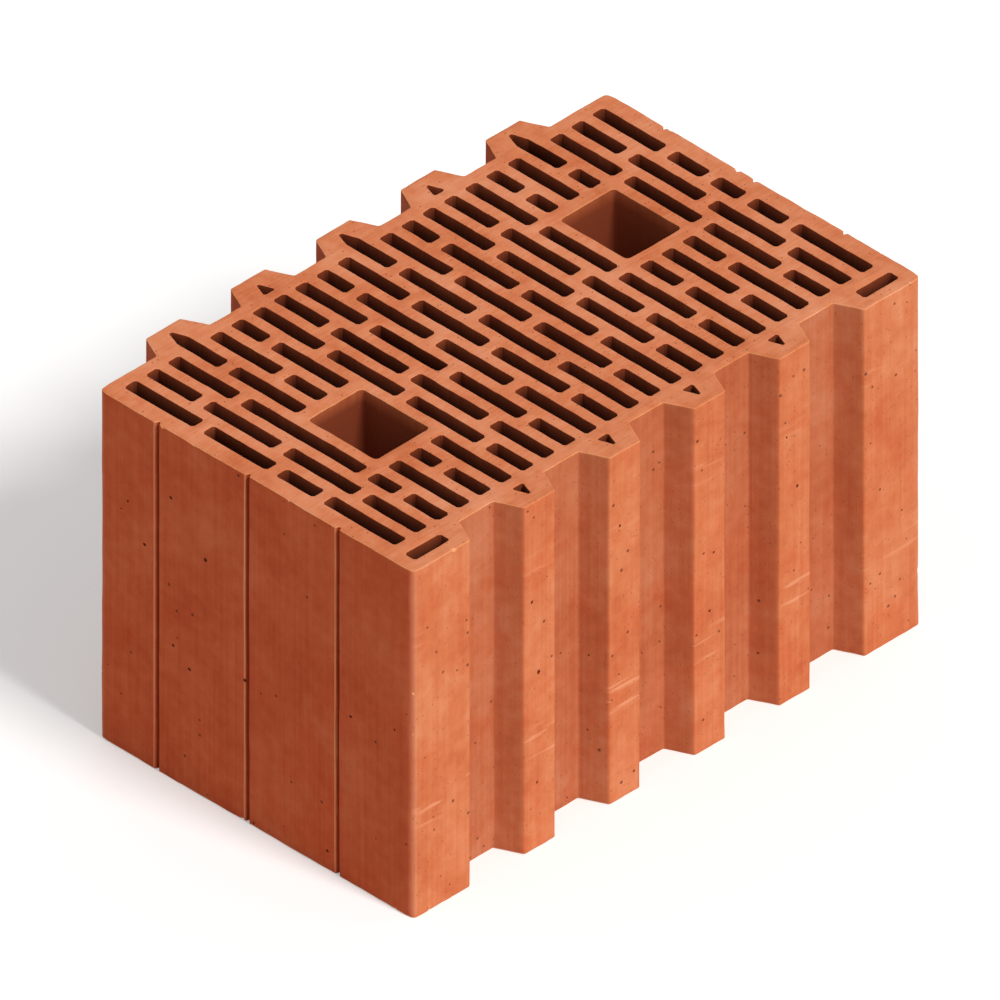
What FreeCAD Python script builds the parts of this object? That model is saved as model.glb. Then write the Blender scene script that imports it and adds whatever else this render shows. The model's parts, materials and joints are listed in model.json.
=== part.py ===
import FreeCAD, Part
import math
import os

# A hollow clay block for a single-leaf wall, extruded through a die, wire-cut top and bottom, and fired.
# X runs along the wall from the tongued end to the grooved end, Y runs through the wall, Z is up.
# The origin is the centre of the bed face's bounding box. All sizes are in millimetres.

# Format of the block
face_length = 248.0
wall_thickness = 400.0
block_height = 238.0

# Rows of slots through the wall's thickness
row_count = 23
slot_width = 9.2
outer_shell = 11.5
slot_corner_cut = 1.4

# Slots along one row, and the cross webs between them
slot_web = 7.8
web_spacing = 62.8
first_web = 62.5
bond_shift = 13.5
tongue_shell = 8.5
groove_backing = 9.0
shortest_slot = 14.0
single_step_row = 2

# Rows that break the bond, by row number from the front, with their webs measured from the tongued face
front_row_webs = (66.0, 124.0, 161.0)
long_slot_row = 3
long_slot_webs = (62.0, 162.0, 190.0)
short_slot_row = 16
short_slot_webs = (49.0, 113.0, 163.5)
back_row_webs = (63.0, 97.5, 126.0, 160.5)

# Grip holes, each taking the place of one cell in three neighbouring rows
grip_rows = 3
grip_wall = 9.0
grip_corner_radius = 3.0
front_grip_row = 4
back_grip_row = 18

# Tongues and grooves that key the blocks together
first_key_row = 4
rows_per_key = 4
tongue_depth = 16.0
tongue_tip_width = 27.0
tongue_root_width = 42.0
side_play = 1.5
tip_play = 3.0
laid_gap = 2.0
key_corner_radius = 1.6

# Small holes that lighten the tongues and the lands between the grooves
key_hole_length = 11.5
key_hole_width = 8.5
key_hole_cut = 0.8
tongue_hole_wall = 6.0
land_hole_wall = 6.5
corner_slot_width = 8.0
corner_slot_cover = 8.0
corner_slot_shell = 9.5
corner_slot_wall = 8.0
pointed_end_wall = 6.0
pointed_end_width = 2.0
pointed_end_cut = 0.6

# Upright scores that give plaster its grip on both long faces
score_count = 3
first_score = 46.0
score_spacing = 71.0
score_mouth_width = 3.2
score_floor_width = 1.4
score_depth = 2.2
score_radius = 0.4
arris_radius = 2.0

# Places worked out from the sizes above
row_pitch = (wall_thickness - 2 * outer_shell - slot_width) / (row_count - 1)
tongued_face = -(face_length - tongue_depth) / 2
grooved_face = tongued_face + face_length
front_face = -wall_thickness / 2
back_face = wall_thickness / 2
groove_depth = tongue_depth - laid_gap + tip_play
flank_slope = (tongue_root_width - tongue_tip_width) / 2 / tongue_depth
groove_floor_width = tongue_tip_width + 2 * (side_play - flank_slope * tip_play)
groove_mouth_width = groove_floor_width + 2 * flank_slope * groove_depth
slots_start = tongued_face + tongue_shell
slots_end = grooved_face - groove_depth - groove_backing


def row_y(row):
    """Centre line of a row of slots; row 1 is next to the front face."""
    return front_face + outer_shell + slot_width / 2 + (row - 1) * row_pitch


def key_rows():
    """Rows that a tongue and a groove are centred on, as far from the back as the first is from the front."""
    last_key_row = row_count + 1 - first_key_row
    return range(first_key_row, last_key_row + 1, rows_per_key)


def plain_tongue_rows():
    """Every second tongue holds a small hole of its own, and the rest take the end of a slot."""
    return list(key_rows())[1::2]


def single_step_rows():
    """Even rows whose bond moves by one step: at the plain tongues, and near either long face."""
    return plain_tongue_rows() + [single_step_row, row_count + 1 - single_step_row]


def loop(corners, radius, rounded=True):
    """Closed wire through the corners, each rounded by an arc or cut straight across where that arc would be.
    A corner may carry its own radius."""
    count = len(corners)
    points = [FreeCAD.Vector(c[0], c[1], 0) for c in corners]
    ends = []
    for i, corner in enumerate(corners):
        r = corner[2] if len(corner) > 2 else radius
        back = (points[i - 1] - points[i]).normalize()
        ahead = (points[(i + 1) % count] - points[i]).normalize()
        half_angle = back.getAngle(ahead) / 2
        reach = r / math.tan(half_angle)
        bisector = (back + ahead).normalize()
        crown = points[i] + bisector * (r / math.sin(half_angle) - r)
        ends.append((points[i] + back * reach, crown, points[i] + ahead * reach))
    edges = []
    for i, (start, crown, end) in enumerate(ends):
        ease = Part.Arc(start, crown, end) if rounded else Part.LineSegment(start, end)
        edges.append(ease.toShape())
        edges.append(Part.LineSegment(end, ends[(i + 1) % count][0]).toShape())
    return Part.Wire(edges)


def long_face(y, inward):
    """Corners of one long face's scores, in the order of rising X; inward points into the clay."""
    corners = []
    for n in range(score_count):
        x = tongued_face + first_score + n * score_spacing
        corners += [
            (x - score_mouth_width / 2, y, score_radius),
            (x - score_floor_width / 2, y + inward * score_depth, score_radius),
            (x + score_floor_width / 2, y + inward * score_depth, score_radius),
            (x + score_mouth_width / 2, y, score_radius),
        ]
    return corners


def grooved_end():
    """Corners of the grooves, in the order of rising Y."""
    corners = []
    for row in key_rows():
        y = row_y(row)
        corners += [
            (grooved_face, y - groove_mouth_width / 2),
            (grooved_face - groove_depth, y - groove_floor_width / 2),
            (grooved_face - groove_depth, y + groove_floor_width / 2),
            (grooved_face, y + groove_mouth_width / 2),
        ]
    return corners


def tongued_end():
    """Corners of the tongues, in the order of falling Y."""
    corners = []
    for row in reversed(key_rows()):
        y = row_y(row)
        corners += [
            (tongued_face, y + tongue_root_width / 2),
            (tongued_face - tongue_depth, y + tongue_tip_width / 2),
            (tongued_face - tongue_depth, y - tongue_tip_width / 2),
            (tongued_face, y - tongue_root_width / 2),
        ]
    return corners


def outline():
    """Outer edge of the block, seen from above."""
    corners = [(tongued_face, front_face, arris_radius)]
    corners += long_face(front_face, 1)
    corners += [(grooved_face, front_face, arris_radius)]
    corners += grooved_end()
    corners += [(grooved_face, back_face, arris_radius)]
    corners += reversed(long_face(back_face, -1))
    corners += [(tongued_face, back_face, arris_radius)]
    corners += tongued_end()
    return loop(corners, key_corner_radius)


def web_line(steps, n):
    """Centre of web n in a row whose bond is moved towards the tongues by a number of steps."""
    return tongued_face + first_web - steps * bond_shift + n * web_spacing


def with_room(webs):
    """Only the webs that leave room for a slot between themselves and the grooved end."""
    return [x for x in webs if x < slots_end - slot_web / 2 - shortest_slot]


def bond_webs(steps):
    """Centres of the webs of a row in the bond."""
    most_webs = math.ceil(face_length / web_spacing)
    return with_room(web_line(steps, n) for n in range(most_webs))


def placed_webs(distances):
    """Centres of the webs of a row that breaks the bond."""
    return with_room(tongued_face + distance for distance in distances)


def row_webs(row):
    """Centres of the webs of one row."""
    if row == 1:
        return placed_webs(front_row_webs)
    if row == long_slot_row:
        return placed_webs(long_slot_webs)
    if row == short_slot_row:
        return placed_webs(short_slot_webs)
    if row == row_count:
        return placed_webs(back_row_webs)
    if row % 2 == 1:
        return bond_webs(0)
    if row in single_step_rows():
        return bond_webs(1)
    return bond_webs(2)


def grip_holes():
    """First row, last row, left and right edge of each grip hole, which fills a cell between two webs."""
    front_cell = (web_line(2, 1), web_line(2, 2))
    back_cell = (web_line(0, 0), web_line(0, 1))
    holes = []
    for first_row, (left, right) in ((front_grip_row, front_cell), (back_grip_row, back_cell)):
        holes.append((first_row, first_row + grip_rows - 1, left + grip_wall / 2, right - grip_wall / 2))
    return holes


def row_slots(row):
    """Left and right end of each slot in one row, cut short where a grip hole stands in the row."""
    webs = [(x - slot_web / 2, x + slot_web / 2) for x in row_webs(row)]
    for first_row, last_row, left, right in grip_holes():
        if first_row <= row <= last_row:
            hole = (left - grip_wall, right + grip_wall)
            webs = [w for w in webs if w[1] <= hole[0] or w[0] >= hole[1]] + [hole]
    webs.sort()
    starts = [slots_start] + [w[1] for w in webs]
    ends = [w[0] for w in webs] + [slots_end]
    return list(zip(starts, ends))


def straight_hole(left, right, near, far):
    """One four-sided hole with its corners cut, as a slim core of the die leaves it."""
    return loop([(left, near), (right, near), (right, far), (left, far)], slot_corner_cut, rounded=False)


def pointed_slot(right, y):
    """A slot that runs on into a tongue and narrows to a point there."""
    half = slot_width / 2
    point = pointed_end_width / 2
    tip = tongued_face - tongue_depth + pointed_end_wall
    corners = [
        (tip, y - point, pointed_end_cut),
        (tongued_face, y - half),
        (right, y - half),
        (right, y + half),
        (tongued_face, y + half),
        (tip, y + point, pointed_end_cut),
    ]
    return loop(corners, slot_corner_cut, rounded=False)


def key_hole(base, y, direction):
    """A small three-sided hole whose point faces along X in the direction given."""
    corners = [
        (base, y - key_hole_width / 2),
        (base + direction * key_hole_length, y),
        (base, y + key_hole_width / 2),
    ]
    return loop(corners, key_hole_cut, rounded=False)


def field_of_slots():
    """Every slot of every row."""
    wires = []
    for row in range(1, row_count + 1):
        y = row_y(row)
        slots = row_slots(row)
        if row in key_rows() and row not in plain_tongue_rows():
            wires.append(pointed_slot(slots[0][1], y))
            slots = slots[1:]
        for left, right in slots:
            wires.append(straight_hole(left, right, y - slot_width / 2, y + slot_width / 2))
    return wires


def grips():
    """The two grip holes."""
    wires = []
    for first_row, last_row, left, right in grip_holes():
        near = row_y(first_row) - slot_width / 2
        far = row_y(last_row) + slot_width / 2
        corners = [(left, near), (right, near), (right, far), (left, far)]
        wires.append(loop(corners, grip_corner_radius))
    return wires


def tongue_holes():
    """The small holes in every second tongue."""
    base = tongued_face - tongue_depth + tongue_hole_wall + key_hole_length
    return [key_hole(base, row_y(row), -1) for row in plain_tongue_rows()]


def land_holes():
    """The small holes in the lands between the grooves, and a short upright slot in each corner land."""
    rows = list(key_rows())
    base = grooved_face - land_hole_wall - key_hole_length
    wires = [key_hole(base, (row_y(a) + row_y(b)) / 2, 1) for a, b in zip(rows, rows[1:])]
    right = grooved_face - corner_slot_cover
    near = front_face + corner_slot_shell
    far = row_y(rows[0]) - groove_mouth_width / 2 - corner_slot_wall
    for y_near, y_far in ((near, far), (-far, -near)):
        wires.append(straight_hole(right - corner_slot_width, right, y_near, y_far))
    return wires


def hollow_block():
    """The whole block: its plan with every hole, drawn up to its height."""
    wires = [outline()] + field_of_slots() + grips() + tongue_holes() + land_holes()
    plan = Part.makeFace(wires, "Part::FaceMakerBullseye")
    return plan.extrude(FreeCAD.Vector(0, 0, block_height))


os.makedirs("parts", exist_ok=True)
block = hollow_block()
block.exportStep("parts/hollow_block.step")
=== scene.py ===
import json
import math
import random

import bpy
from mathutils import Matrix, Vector

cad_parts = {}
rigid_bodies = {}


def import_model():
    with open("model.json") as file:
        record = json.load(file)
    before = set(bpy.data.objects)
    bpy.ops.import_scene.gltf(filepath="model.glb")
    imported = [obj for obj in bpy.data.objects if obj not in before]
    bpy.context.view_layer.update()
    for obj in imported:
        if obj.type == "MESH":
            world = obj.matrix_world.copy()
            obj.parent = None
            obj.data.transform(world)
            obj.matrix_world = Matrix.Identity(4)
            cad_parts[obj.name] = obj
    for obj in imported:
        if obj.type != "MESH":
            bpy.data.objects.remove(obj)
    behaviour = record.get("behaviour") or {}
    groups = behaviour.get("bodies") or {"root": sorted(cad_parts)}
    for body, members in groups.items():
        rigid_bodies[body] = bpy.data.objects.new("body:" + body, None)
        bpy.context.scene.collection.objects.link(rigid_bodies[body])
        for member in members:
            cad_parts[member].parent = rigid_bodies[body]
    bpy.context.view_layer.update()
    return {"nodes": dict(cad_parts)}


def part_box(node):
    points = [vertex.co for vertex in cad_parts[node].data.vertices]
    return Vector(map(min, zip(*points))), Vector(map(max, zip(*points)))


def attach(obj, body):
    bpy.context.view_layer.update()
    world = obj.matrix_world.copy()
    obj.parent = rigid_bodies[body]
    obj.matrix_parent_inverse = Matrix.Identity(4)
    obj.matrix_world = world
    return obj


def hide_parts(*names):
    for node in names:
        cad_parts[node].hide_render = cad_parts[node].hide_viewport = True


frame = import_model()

# The block's body: one fired piece, pressed as a column through a die whose cores leave the slots,
# and cut to height by taut wires. Its form is a merged copy of the solid, with the flat facets that
# belong together joined again, so that each wall is one face from bed to bed.
block = bpy.data.objects.new("clay_block", frame["nodes"]["hollow_block"].data.copy())
bpy.context.scene.collection.objects.link(block)
bpy.ops.object.select_all(action="DESELECT")
block.select_set(True)
bpy.context.view_layer.objects.active = block
low = Vector(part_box("hollow_block")[0])
high = Vector(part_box("hollow_block")[1])
middle = (low + high) / 2

SAME_POINT = 0.00025
SAME_PLANE = math.radians(0.5)
bpy.ops.object.mode_set(mode="EDIT")
bpy.ops.mesh.customdata_custom_splitnormals_clear()
bpy.ops.mesh.select_all(action="SELECT")
bpy.ops.mesh.remove_doubles(threshold=SAME_POINT)
bpy.ops.mesh.dissolve_limited(angle_limit=SAME_PLANE)
bpy.ops.object.mode_set(mode="OBJECT")

# The pressed skin of fired clay on the long faces and ends: smooth, with streaks drawn along the
# column 2.5 mm apart. The long faces and the tongued end are painted redder and darker, partly a
# redder skin and partly painted shade; the recesses of the ends are darker than the lands and tips
# by painted shade.
SKIN, SLOT_WALL, GRIP_WALL, WIRE_CUT, BROKEN = range(5)
DRAWN_LINES = (2.5, 2.5, 150)
BLEND = {"data_type": "RGBA"}
TINT = {"data_type": "RGBA", "blend_type": "MULTIPLY"}
TONGUE_DEPTH = 0.016
tongued_face = low.x + TONGUE_DEPTH
block.data.materials.clear()


def linear(hex_colour):
    """An sRGB hex colour as the linear colour that a shader takes."""
    parts = [int(hex_colour[i : i + 2], 16) / 255 for i in (1, 3, 5)]
    return [c / 12.92 if c <= 0.04045 else ((c + 0.055) / 1.055) ** 2.4 for c in parts] + [1]


def add_node(tree, kind, inputs, **settings):
    """Adds a node with its settings. An input is a value, or the output of another node."""
    made = tree.nodes.new("ShaderNode" + kind)
    for name, value in settings.items():
        setattr(made, name, value)
    for name, value in inputs.items():
        if isinstance(value, bpy.types.NodeSocket):
            tree.links.new(value, made.inputs[name])
        else:
            made.inputs[name].default_value = value
    return made


def fired_clay(name, pale, usual, deep, line_mm):
    """Starts a clay material: its fire colours and its relief, both partly in lines.
    line_mm is the size of a line along X, Y and Z."""
    clay = bpy.data.materials.new(name)
    clay.use_nodes = True
    tree = clay.node_tree
    place = add_node(tree, "TexCoord", {}).outputs["Object"]
    # Clouds of fire colour 50 mm across, blotches of 9 mm, a grain of 1.2 mm, and the lines
    noises = []
    for mm, detail in ((50, 4), (9, 5), (1.2, 3)):
        noise = add_node(
            tree, "TexNoise", {"Vector": place, "Scale": 1000 / mm, "Detail": detail}
        )
        noises.append(noise.outputs["Fac"])
    clouds, blotches, grain = noises
    drawn = add_node(tree, "Mapping", {"Vector": place, "Scale": [1000 / mm for mm in line_mm]})
    lines = add_node(tree, "TexNoise", {"Vector": drawn.outputs[0], "Scale": 1, "Detail": 3})
    lines = lines.outputs["Fac"]
    share = 0
    for noise, weight in ((clouds, 0.42), (blotches, 0.28), (lines, 0.2), (grain, 0.1)):
        share = add_node(
            tree, "Math", {0: noise, 1: weight, 2: share}, operation="MULTIPLY_ADD"
        ).outputs[0]
    fire = add_node(tree, "ValToRGB", {"Fac": share})
    fire.color_ramp.elements[0].position = 0.35
    fire.color_ramp.elements[0].color = linear(deep)
    fire.color_ramp.elements[1].position = 0.65
    fire.color_ramp.elements[1].color = linear(pale)
    fire.color_ramp.elements.new(0.5).color = linear(usual)
    height = 0
    for noise, weight in ((lines, 0.5), (grain, 0.4)):
        height = add_node(
            tree, "Math", {0: noise, 1: weight, 2: height}, operation="MULTIPLY_ADD"
        ).outputs[0]
    shader = tree.nodes["Principled BSDF"]
    shader.inputs["Roughness"].default_value = 0.9
    shader.inputs["Specular IOR Level"].default_value = 0.15
    return clay, tree, place, fire.outputs["Color"], height, lines


def finish_clay(tree, colour, height, depth_mm):
    """Ends a clay material with its colour and its relief, which is depth_mm deep."""
    bump = add_node(
        tree, "Bump", {"Height": height, "Strength": 0.65, "Distance": depth_mm / 1000}
    )
    shader = tree.nodes["Principled BSDF"]
    tree.links.new(bump.outputs[0], shader.inputs["Normal"])
    tree.links.new(colour, shader.inputs["Base Color"])


skin, tree, place, colour, height, lines = fired_clay(
    "pressed_clay_skin", "#dd8b62", "#d2774c", "#c4623b", DRAWN_LINES
)
apart = add_node(tree, "SeparateXYZ", {"Vector": place})
at_x, at_y, at_z = (apart.outputs[axis] for axis in "XYZ")
along = add_node(tree, "Math", {0: at_x}, operation="ABSOLUTE").outputs[0]
across = add_node(tree, "Math", {0: at_y}, operation="ABSOLUTE").outputs[0]

# Redder flushes 35 mm across, where the fire reached the skin with less air
flush = add_node(
    tree, "TexNoise", {"Vector": place, "Scale": 1 / 0.035, "Detail": 2, "Distortion": 0.6}
).outputs["Fac"]
flush = add_node(
    tree, "MapRange", {"Value": flush, "From Min": 0.52, "From Max": 0.66, "To Max": 0.4}
).outputs[0]
colour = add_node(
    tree, "Mix", {"Factor": flush, "A": colour, "B": linear("#ffe0d3")}, **TINT
).outputs["Result"]

# The long faces, known by the way they face and by lying outermost, and the tongued end: painted
# redder and darker, partly a redder skin and partly painted shade
normal = add_node(tree, "NewGeometry", {}).outputs["True Normal"]
facing = add_node(tree, "SeparateXYZ", {"Vector": normal}).outputs["Y"]
facing = add_node(tree, "Math", {0: facing}, operation="ABSOLUTE").outputs[0]
facing = add_node(
    tree, "MapRange", {"Value": facing, "From Min": 0.5, "From Max": 0.85}
).outputs[0]
outer = add_node(
    tree, "MapRange", {"Value": across, "From Min": high.y - 0.004, "From Max": high.y - 0.0022}
).outputs[0]
on_face = add_node(tree, "Math", {0: facing, 1: outer}, operation="MULTIPLY").outputs[0]
starts, full = tongued_face + 0.003, tongued_face + 0.001
tongued_end_shade = add_node(
    tree, "MapRange", {"Value": at_x, "From Min": starts, "From Max": full, "To Max": 0.9}
).outputs[0]
redder_and_shaded = add_node(tree, "Math", {0: on_face, 1: tongued_end_shade}, operation="MAXIMUM").outputs[0]
colour = add_node(
    tree, "Mix", {"Factor": redder_and_shaded, "A": colour, "B": linear("#eabeac")}, **TINT
).outputs["Result"]

# Painted shade in the recesses: all of the two ends but the lands and tips, which lie outermost,
# are darkened
on_tip = add_node(
    tree, "MapRange", {"Value": along, "From Min": high.x - 0.003, "From Max": high.x - 0.001}
).outputs[0]
not_tip = add_node(tree, "Math", {0: 1.0, 1: on_tip}, operation="SUBTRACT").outputs[0]
not_face = add_node(tree, "Math", {0: 1.0, 1: on_face}, operation="SUBTRACT").outputs[0]
recess_shade = add_node(tree, "Math", {0: not_tip, 1: not_face}, operation="MULTIPLY").outputs[0]
colour = add_node(
    tree, "Mix", {"Factor": recess_shade, "A": colour, "B": linear("#e9e8ed")}, **TINT
).outputs["Result"]

# The three scores of a long face, darkened and reddened as painted shade in the grooves. They are
# told by how far a point is from the nearest one, and by their depth.
FIRST_SCORE, SCORE_SPACING = 0.046, 0.071
first, half = tongued_face + FIRST_SCORE, SCORE_SPACING / 2
beside = add_node(tree, "Math", {0: at_x, 1: first}, operation="SUBTRACT").outputs[0]
beside = add_node(tree, "Math", {0: beside, 1: half, 2: -half}, operation="WRAP").outputs[0]
off = add_node(tree, "Math", {0: beside}, operation="ABSOLUTE").outputs[0]
score_shade = add_node(
    tree, "MapRange", {"Value": off, "From Min": 0.0018, "From Max": 0.0014}
).outputs[0]
sunk = add_node(
    tree, "MapRange", {"Value": across, "From Min": high.y - 0.0008, "From Max": high.y - 0.0016}
).outputs[0]
score_shade = add_node(tree, "Math", {0: score_shade, 1: sunk}, operation="MULTIPLY").outputs[0]
colour = add_node(
    tree, "Mix", {"Factor": score_shade, "A": colour, "B": linear("#d4976c")}, **TINT
).outputs["Result"]

# A painted highlight along one lip of a score, where its flank would catch the light, broken by the
# drawn lines
LIP = 0.0021
off = add_node(tree, "Math", {0: beside, 1: LIP}, operation="ADD").outputs[0]
off = add_node(tree, "Math", {0: off}, operation="ABSOLUTE").outputs[0]
lip_highlight = add_node(
    tree, "MapRange", {"Value": off, "From Min": 0.0007, "From Max": 0.0003}
).outputs[0]
for mask in (on_face, lines):
    lip_highlight = add_node(tree, "Math", {0: lip_highlight, 1: mask}, operation="MULTIPLY").outputs[0]
colour = add_node(
    tree, "Mix", {"Factor": lip_highlight, "A": colour, "B": linear("#eb9d74")}, **BLEND
).outputs["Result"]

# Pale rub marks on the lands and tips: slanting strokes 30 mm long, in bands where two rails held
# the block, each given by its height and how strongly it rubbed
SLANT = math.radians(-17)
RAILS = ((0.072, 1.0), (0.19, 0.4))
slanted = add_node(
    tree,
    "Mapping",
    {"Vector": place, "Rotation": (SLANT, 0, 0), "Scale": (1 / 0.05, 1 / 0.03, 1 / 0.0035)},
).outputs[0]
strokes = add_node(tree, "TexNoise", {"Vector": slanted, "Scale": 1, "Detail": 1}).outputs["Fac"]
strokes = add_node(
    tree, "MapRange", {"Value": strokes, "From Min": 0.58, "From Max": 0.74, "To Max": 0.55}
).outputs[0]
rubbed = 0
for rail, rub in RAILS:
    off = add_node(tree, "Math", {0: at_z, 1: rail}, operation="SUBTRACT").outputs[0]
    off = add_node(tree, "Math", {0: off}, operation="ABSOLUTE").outputs[0]
    band = add_node(
        tree, "MapRange", {"Value": off, "From Min": 0.016, "From Max": 0.006, "To Max": rub}
    ).outputs[0]
    rubbed = add_node(tree, "Math", {0: rubbed, 1: band}, operation="ADD").outputs[0]
for mask in (strokes, on_tip):
    rubbed = add_node(tree, "Math", {0: rubbed, 1: mask}, operation="MULTIPLY").outputs[0]
colour = add_node(
    tree, "Mix", {"Factor": rubbed, "A": colour, "B": linear("#f3ab83")}, **BLEND
).outputs["Result"]

# The upright corners, paler over the last 3 to 5 mm: a painted highlight where they round towards
# the light
FAR, NEAR = 0.005, 0.003
starts, full = high.x - FAR, high.x - NEAR
grooved_side = add_node(
    tree, "MapRange", {"Value": at_x, "From Min": starts, "From Max": full}
).outputs[0]
starts, full = tongued_face + FAR, tongued_face + NEAR
tongued_side = add_node(
    tree, "MapRange", {"Value": at_x, "From Min": starts, "From Max": full}
).outputs[0]
starts, full = high.y - FAR, high.y - NEAR
edge_on = add_node(
    tree, "MapRange", {"Value": across, "From Min": starts, "From Max": full, "To Max": 0.2}
).outputs[0]
corner_highlight = add_node(
    tree, "Math", {0: grooved_side, 1: tongued_side}, operation="MAXIMUM"
).outputs[0]
corner_highlight = add_node(tree, "Math", {0: corner_highlight, 1: edge_on}, operation="MULTIPLY").outputs[0]
colour = add_node(
    tree, "Mix", {"Factor": corner_highlight, "A": colour, "B": linear("#efa987")}, **BLEND
).outputs["Result"]

# Iron specks of 1 to 2 mm, in one of twelve cells of 6 mm, so about one to 20 square centimetres
cells = add_node(tree, "TexVoronoi", {"Vector": place, "Scale": 1 / 0.006})
picked = add_node(tree, "SeparateColor", {"Color": cells.outputs["Color"]}).outputs
radius = add_node(
    tree, "Math", {0: picked[1], 1: 0.12, 2: 0.07}, operation="MULTIPLY_ADD"
).outputs[0]
speck = add_node(
    tree, "Math", {0: cells.outputs["Distance"], 1: radius}, operation="LESS_THAN"
).outputs[0]
chosen = add_node(tree, "Math", {0: picked[0], 1: 0.92}, operation="GREATER_THAN").outputs[0]
for mask in (chosen, 0.7):
    speck = add_node(tree, "Math", {0: speck, 1: mask}, operation="MULTIPLY").outputs[0]
colour = add_node(
    tree, "Mix", {"Factor": speck, "A": colour, "B": linear("#4a1d12")}, **BLEND
).outputs["Result"]

# Open pores of 0.6 mm, a little longer along the column, which are dark and sunk
longer = add_node(
    tree, "Mapping", {"Vector": place, "Scale": (1 / 0.002, 1 / 0.002, 1 / 0.0035)}
).outputs[0]
cells = add_node(tree, "TexVoronoi", {"Vector": longer, "Scale": 1})
picked = add_node(tree, "SeparateColor", {"Color": cells.outputs["Color"]}).outputs
pore = add_node(
    tree, "MapRange", {"Value": cells.outputs["Distance"], "From Min": 0.2, "From Max": 0.1}
).outputs[0]
chosen = add_node(tree, "Math", {0: picked[1], 1: 0.72}, operation="GREATER_THAN").outputs[0]
pore = add_node(tree, "Math", {0: pore, 1: chosen}, operation="MULTIPLY").outputs[0]
shown = add_node(tree, "Math", {0: pore, 1: 0.5}, operation="MULTIPLY").outputs[0]
colour = add_node(
    tree, "Mix", {"Factor": shown, "A": colour, "B": linear("#6e2f1c")}, **BLEND
).outputs["Result"]
height = add_node(tree, "Math", {0: pore, 1: -0.8, 2: height}, operation="MULTIPLY_ADD").outputs[0]
finish_clay(tree, colour, height, 0.4)
block.data.materials.append(skin)

# The walls of the slots and grip holes, which the cores drew smooth: painted dark brown red as
# shade, and darker still from about 10 mm inside the mouths as deeper painted shade.
MOUTH = 0.01


def shaded_inner_wall(name, pale, usual, deep, inmost_shade):
    """Makes the clay of one kind of wall, dark as painted shade, which turns to the darker inmost
    colour of painted shade inside its mouths.
    """
    wall, tree, place, colour, height, _ = fired_clay(name, pale, usual, deep, DRAWN_LINES)
    z = add_node(tree, "SeparateXYZ", {"Vector": place}).outputs["Z"]
    off = add_node(tree, "Math", {0: z, 1: middle.z}, operation="SUBTRACT").outputs[0]
    off = add_node(tree, "Math", {0: off}, operation="ABSOLUTE").outputs[0]
    deep_shade = add_node(
        tree, "MapRange", {"Value": off, "From Min": middle.z, "From Max": middle.z - MOUTH}
    ).outputs[0]
    colour = add_node(
        tree, "Mix", {"Factor": deep_shade, "A": colour, "B": linear(inmost_shade)}, **BLEND
    ).outputs["Result"]
    finish_clay(tree, colour, height, 0.4)
    block.data.materials.append(wall)
    return wall


shaded_inner_wall("slot_wall_with_painted_shade", "#964826", "#83391c", "#6d2f16", "#3c160a")
grip_wall_shaded_clay = shaded_inner_wall("grip_wall_with_painted_shade", "#bd6841", "#ad5833", "#994928", "#7c371e")

# The beds, where the wires cut the soft column: torn a little as sand dragged along with the
# wire, so they are paler, matt and lined through the wall's thickness.
cut_clay, tree, place, colour, height, _ = fired_clay(
    "wire_cut_clay", "#e69770", "#dc8359", "#ca6b40", (1.4, 20, 1.4)
)
# Pits of about 1 mm, in one of five cells of 3.2 mm, where a grain was torn out
cells = add_node(tree, "TexVoronoi", {"Vector": place, "Scale": 1 / 0.0032})
picked = add_node(tree, "SeparateColor", {"Color": cells.outputs["Color"]}).outputs
pit = add_node(
    tree, "MapRange", {"Value": cells.outputs["Distance"], "From Min": 0.2, "From Max": 0.12}
).outputs[0]
chosen = add_node(tree, "Math", {0: picked[0], 1: 0.8}, operation="GREATER_THAN").outputs[0]
pit = add_node(tree, "Math", {0: pit, 1: chosen}, operation="MULTIPLY").outputs[0]
shown = add_node(tree, "Math", {0: pit, 1: 0.6}, operation="MULTIPLY").outputs[0]
colour = add_node(
    tree, "Mix", {"Factor": shown, "A": colour, "B": linear("#8a3f25")}, **BLEND
).outputs["Result"]
height = add_node(tree, "Math", {0: pit, 1: -0.8, 2: height}, operation="MULTIPLY_ADD").outputs[0]
finish_clay(tree, colour, height, 0.5)
block.data.materials.append(cut_clay)

# Clay laid bare on rubbed arrises and in small nicks: a rough, brighter break with no skin, grained
# the same way all round.
broken, tree, _, colour, height, _ = fired_clay(
    "broken_clay", "#f2b088", "#e3925f", "#cf7446", (1.8, 1.8, 1.8)
)
finish_clay(tree, colour, height, 0.6)
block.data.materials.append(broken)

# Which faces carry which clay: beds face up or down, the grip holes' walls lie within the limits
# along X and Y given here, and the skin is what links on round the outside.
GRIP_HOLES = ((-0.014, 0.0415, -0.139, -0.095), (-0.05, 0.0055, 0.095, 0.139))


def in_grip_hole(at):
    """Whether a point lies in either grip hole, seen from above."""
    return any(x0 < at.x < x1 and y0 < at.y < y1 for x0, x1, y0, y1 in GRIP_HOLES)


def select_faces(wanted):
    """Selects the block's faces for which wanted(face) is true, and nothing else."""
    mesh = block.data
    mesh.vertices.foreach_set("select", [False] * len(mesh.vertices))
    mesh.edges.foreach_set("select", [False] * len(mesh.edges))
    mesh.polygons.foreach_set("select", [bool(wanted(face)) for face in mesh.polygons])
    bpy.context.tool_settings.mesh_select_mode = (False, False, True)


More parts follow.
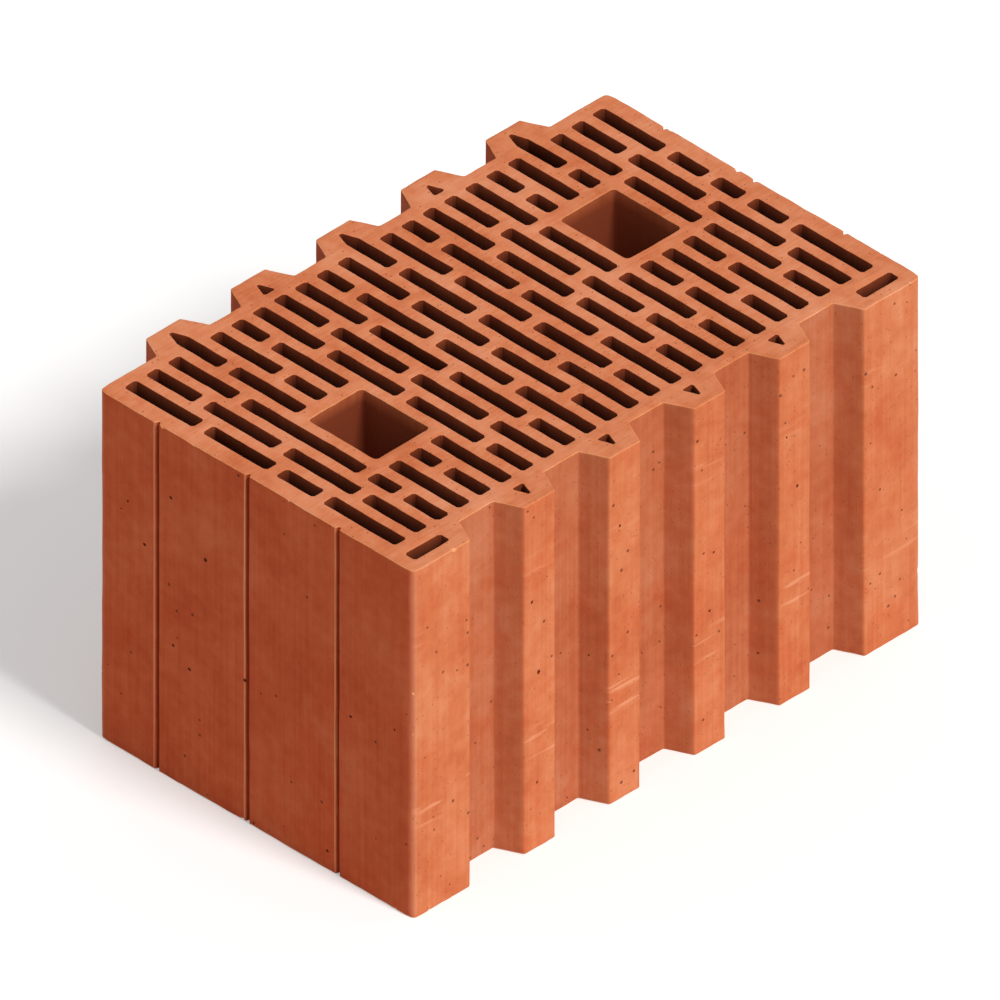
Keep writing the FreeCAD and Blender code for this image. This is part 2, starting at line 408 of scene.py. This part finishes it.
for face in block.data.polygons:
    wall = GRIP_WALL if in_grip_hole(face.center) else SLOT_WALL
    face.material_index = WIRE_CUT if abs(face.normal.z) > 0.9 else wall
facing_y = [face for face in block.data.polygons if abs(face.normal.y) > 0.9]
front = min(facing_y, key=lambda face: face.center.y)
select_faces(lambda face: face.index == front.index)
bpy.ops.object.mode_set(mode="EDIT")
bpy.ops.mesh.select_linked(delimit={"MATERIAL"})
bpy.context.object.active_material_index = SKIN
bpy.ops.object.material_slot_assign()
bpy.ops.object.mode_set(mode="OBJECT")

# The rims of both beds: a small arris, broken rough by handling round the outside and the grip
# holes, and only eased by the wire at the slots.
ARRIS = 0.0004
SAME_AS_BESIDE = -1


def ease_rims(walls, material):
    """Bevels the edges between the beds and walls of the kinds named."""
    mesh = block.data
    beds = [face for face in mesh.polygons if face.material_index == WIRE_CUT]
    sides = [face for face in mesh.polygons if face.material_index in walls]
    rim = {key for face in beds for key in face.edge_keys}
    rim &= {key for face in sides for key in face.edge_keys}
    select_faces(lambda face: False)
    for edge in mesh.edges:
        if edge.key in rim:
            edge.select = True
            mesh.vertices[edge.key[0]].select = True
            mesh.vertices[edge.key[1]].select = True
    bpy.context.tool_settings.mesh_select_mode = (False, True, False)
    bpy.ops.object.mode_set(mode="EDIT")
    bpy.ops.mesh.bevel(offset=ARRIS, segments=2, profile=0.5, affect="EDGES", material=material)
    bpy.ops.object.mode_set(mode="OBJECT")


ease_rims((SKIN, GRIP_WALL), BROKEN)
ease_rims((SLOT_WALL,), SAME_AS_BESIDE)

# Nicks in the upright corners and along the rims of the long faces and the grooved end, knocked
# out by other blocks. They are cut out by lumps that stand partly outside the clay.
CORNERS = ((tongued_face, low.y), (high.x, low.y), (high.x, high.y), (tongued_face, high.y))
after_tongues = low.x + 0.02
rng = random.Random(7)
nicks = []


def nick(x, y, z, size, clay):
    """Adds a lump of about this radius, to be cut from the block, that leaves this clay bare."""
    bpy.ops.mesh.primitive_ico_sphere_add(subdivisions=2, radius=size, location=(x, y, z))
    cutter = bpy.context.object
    cutter.scale = (rng.uniform(0.7, 1.4), rng.uniform(0.7, 1.4), rng.uniform(0.6, 1.5))
    cutter.rotation_euler = (rng.uniform(0, 3), rng.uniform(0, 3), rng.uniform(0, 3))
    for vertex in cutter.data.vertices:
        vertex.co *= rng.uniform(0.82, 1.12)
    cutter.data.materials.append(clay)
    nicks.append(cutter)


def clear_height():
    """A height by chance that is clear of both beds."""
    return rng.uniform(0.01, high.z - 0.01)


for side_x, side_y in CORNERS:
    for _ in range(4):
        size = rng.uniform(0.0018, 0.0038)
        x = side_x + math.copysign(size * 0.45, side_x)
        y = side_y + math.copysign(size * 0.45, side_y)
        nick(x, y, clear_height(), size, broken)
for bed, away in ((high.z, 1), (low.z, -1)):
    for _ in range(9):
        size = rng.uniform(0.0015, 0.0032)
        side = rng.choice((low.y, high.y))
        x = rng.uniform(after_tongues, high.x - 0.004)
        nick(x, side + math.copysign(size * 0.5, side), bed + away * size * 0.4, size, broken)
    for _ in range(7):
        size = rng.uniform(0.0015, 0.003)
        y = rng.uniform(low.y + 0.005, high.y - 0.005)
        nick(high.x + size * 0.5, y, bed + away * size * 0.4, size, broken)

# Pits in the skin, left where a straw or a crumb of coal burnt out: on the long faces, and on the
# lands and tips, whose middles are given in pitches from the block's own.
# Their walls take the grip holes' clay, which is darkened as painted shade.
KEY_PITCH = 0.06687
for side in (low.y, high.y):
    for _ in range(12):
        size = rng.uniform(0.0007, 0.0013)
        x = rng.uniform(after_tongues, high.x - 0.005)
        nick(x, side, clear_height(), size, grip_wall_shaded_clay)
for end, middles in ((high.x, (-1.5, -0.5, 0.5, 1.5)), (low.x, (-2, -1, 0, 1, 2))):
    for pitches in middles:
        for _ in range(2):
            size = rng.uniform(0.0007, 0.0013)
            y = pitches * KEY_PITCH + rng.uniform(-0.009, 0.009)
            nick(end, y, clear_height(), size, grip_wall_shaded_clay)

bpy.ops.object.select_all(action="DESELECT")
for cutter in nicks:
    cutter.select_set(True)
bpy.context.view_layer.objects.active = nicks[0]
bpy.ops.object.join()
cutters = bpy.context.object
bpy.ops.object.select_all(action="DESELECT")
block.select_set(True)
bpy.context.view_layer.objects.active = block
knock = block.modifiers.new("nicks", "BOOLEAN")
knock.operation = "DIFFERENCE"
knock.solver = "MANIFOLD"
knock.material_mode = "TRANSFER"
knock.object = cutters
bpy.ops.object.modifier_apply(modifier="nicks")
bpy.data.objects.remove(cutters)

# Faces fine enough to carry the clay's own unevenness: cells of 5 mm over the beds, and steps of
# 8 mm up the outer skin.
CELL, STEP = 0.005, 0.008


def slice_block(axis, start, end):
    """Cuts all faces across one axis, a cell apart."""
    normal = [0, 0, 0]
    normal[axis] = 1
    for i in range(round((end - start) / CELL)):
        at = [0, 0, 0]
        at[axis] = start + (i + 0.5) * CELL
        bpy.ops.mesh.bisect(plane_co=at, plane_no=normal)
        bpy.ops.mesh.select_all(action="SELECT")


bpy.ops.object.mode_set(mode="EDIT")
bpy.ops.mesh.select_all(action="SELECT")
slice_block(0, low.x, high.x)
slice_block(1, low.y, high.y)
bpy.ops.object.mode_set(mode="OBJECT")
for i in range(round(high.z / STEP)):
    select_faces(lambda face: face.material_index in (SKIN, BROKEN))
    bpy.ops.object.mode_set(mode="EDIT")
    bpy.ops.mesh.bisect(plane_co=(0, 0, (i + 0.5) * STEP), plane_no=(0, 0, 1))
    bpy.ops.object.mode_set(mode="OBJECT")

# The four upright corners, which handling has rubbed from the die's radius to a rounder one. Each
# point near a corner moves towards the middle of the rounder arc, by as much in proportion as the
# skin on its line does.
DRAWN, RUBBED = 0.002, 0.0045
inset = RUBBED - DRAWN
for vertex in block.data.vertices:
    for corner_x, corner_y in CORNERS:
        u = RUBBED - abs(corner_x - vertex.co.x)
        v = RUBBED - abs(corner_y - vertex.co.y)
        if u <= 0 or v <= 0:
            continue
        away = math.hypot(u, v)
        if min(u, v) / max(u, v) * RUBBED <= inset:
            skin_away = RUBBED * away / max(u, v)
        else:
            skin_away = inset * (u + v) / away
            skin_away += math.sqrt(DRAWN**2 - (inset * (u - v) / away) ** 2)
        vertex.co.x += math.copysign(u * (1 - RUBBED / skin_away), middle.x - corner_x)
        vertex.co.y += math.copysign(v * (1 - RUBBED / skin_away), middle.y - corner_y)

# Shrinkage in the kiln leaves every wall slightly wavy, and the wire leaves the rims ragged. The
# body is drawn in first, so that it stays within its nominal size, and stands on the floor after.
WAVE = 0.0007
RAGGED = 0.0005
RIM = 0.003
draw_in = (WAVE + RAGGED) / 2
bpy.ops.object.mode_set(mode="EDIT")
bpy.ops.mesh.select_all(action="SELECT")
drawn_in = [(d - 2 * draw_in) / d for d in high - low]
bpy.ops.transform.resize(value=drawn_in, center_override=middle)
bpy.ops.object.mode_set(mode="OBJECT")

rims = block.vertex_groups.new(name="rims")
near_bed = [v.index for v in block.data.vertices if abs(v.co.z - middle.z) > middle.z - RIM]
rims.add(near_bed, 1.0, "REPLACE")


def unevenness(name, spacing, strength, group):
    """Moves the points of a group by a soft noise, whose swells are this far apart."""
    texture = bpy.data.textures.new(name, "CLOUDS")
    texture.cloud_type = "COLOR"
    texture.noise_scale = spacing
    texture.noise_depth = 2
    move = block.modifiers.new(name, "DISPLACE")
    move.texture = texture
    move.texture_coords = "LOCAL"
    move.direction = "RGB_TO_XYZ"
    move.mid_level = 0.5
    move.strength = strength
    move.vertex_group = group
    bpy.ops.object.modifier_apply(modifier=name)


unevenness("kiln_wave", 0.03, WAVE, "")
unevenness("ragged_rim", 0.006, RAGGED, "rims")
block.vertex_groups.clear()
lowest = min(vertex.co.z for vertex in block.data.vertices)
for vertex in block.data.vertices:
    vertex.co.z -= lowest
    for axis in range(3):
        vertex.co[axis] = min(max(vertex.co[axis], low[axis]), high[axis])
bpy.ops.object.shade_smooth_by_angle(angle=math.radians(38))
block.data.update()

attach(block, "root")
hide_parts("hollow_block")

# The studio's floor: a plain board, painted matt white, that keeps the block's shadow. It is lit
# up a little where it is seen directly, so that it runs on into the white round it.
bpy.ops.mesh.primitive_plane_add(size=12, location=(0, 0, 0))
floor = bpy.context.object
floor.name = "floor"
paint = bpy.data.materials.new("matt_white_floor")
paint.use_nodes = True
tree = paint.node_tree
shader = tree.nodes["Principled BSDF"]
shader.inputs["Base Color"].default_value = linear("#e9e8e6")
shader.inputs["Roughness"].default_value = 0.9
shader.inputs["Emission Color"].default_value = (1, 1, 1, 1)


def seen_directly(tree):
    """Is 1 for what the camera sees, also by way of a reflection or through glass."""
    path = add_node(tree, "LightPath", {}).outputs
    seen = path["Is Camera Ray"]
    for ray in ("Is Glossy Ray", "Is Transmission Ray"):
        seen = add_node(
            tree, "Math", {0: seen, 1: path[ray]}, operation="ADD", use_clamp=True
        ).outputs[0]
    return seen


lift = add_node(tree, "Math", {0: seen_directly(tree), 1: 0.3}, operation="MULTIPLY").outputs[0]
tree.links.new(lift, shader.inputs["Emission Strength"])
floor.data.materials.append(paint)

# The studio's light: an even, soft fill from all round, seen as white, and a large soft key lamp
# high up beside the grooved end.
FILL, WHITE = 0.36, 1.0
world = bpy.data.worlds.new("studio")
bpy.context.scene.world = world
world.use_nodes = True
tree = world.node_tree
ground = tree.nodes["Background"]
level = add_node(
    tree, "MapRange", {"Value": seen_directly(tree), "To Min": FILL, "To Max": WHITE}
).outputs[0]
ground.inputs["Color"].default_value = (1, 1, 1, 1)
tree.links.new(level, ground.inputs["Strength"])

key = bpy.data.lights.new("key", "SUN")
key.energy = 2.55
key.angle = math.radians(14)
lamp = bpy.data.objects.new("key", key)
bpy.context.scene.collection.objects.link(lamp)
towards_lamp = Vector((0.69, 0.03, 0.72))
lamp.rotation_euler = (-towards_lamp).to_track_quat("-Z", "Y").to_euler()

# The camera: a parallel view from above the front right corner, 45 degrees round and 35.7 up, that
# takes in 555 mm.
camera = bpy.data.objects.new("camera", bpy.data.cameras.new("camera"))
bpy.context.scene.collection.objects.link(camera)
camera.data.type = "ORTHO"
camera.data.ortho_scale = 0.555
turn, rise = math.radians(45), math.radians(35.7)
back = Vector((math.sin(turn) * math.cos(rise), -math.cos(turn) * math.cos(rise), math.sin(rise)))
STAND_OFF = 3
camera.location = middle + back * STAND_OFF
camera.rotation_euler = (-back).to_track_quat("-Z", "Y").to_euler()
camera.data.clip_start, camera.data.clip_end = 0.1, 10
bpy.context.scene.camera = camera
bpy.context.scene.view_settings.view_transform = "Standard"
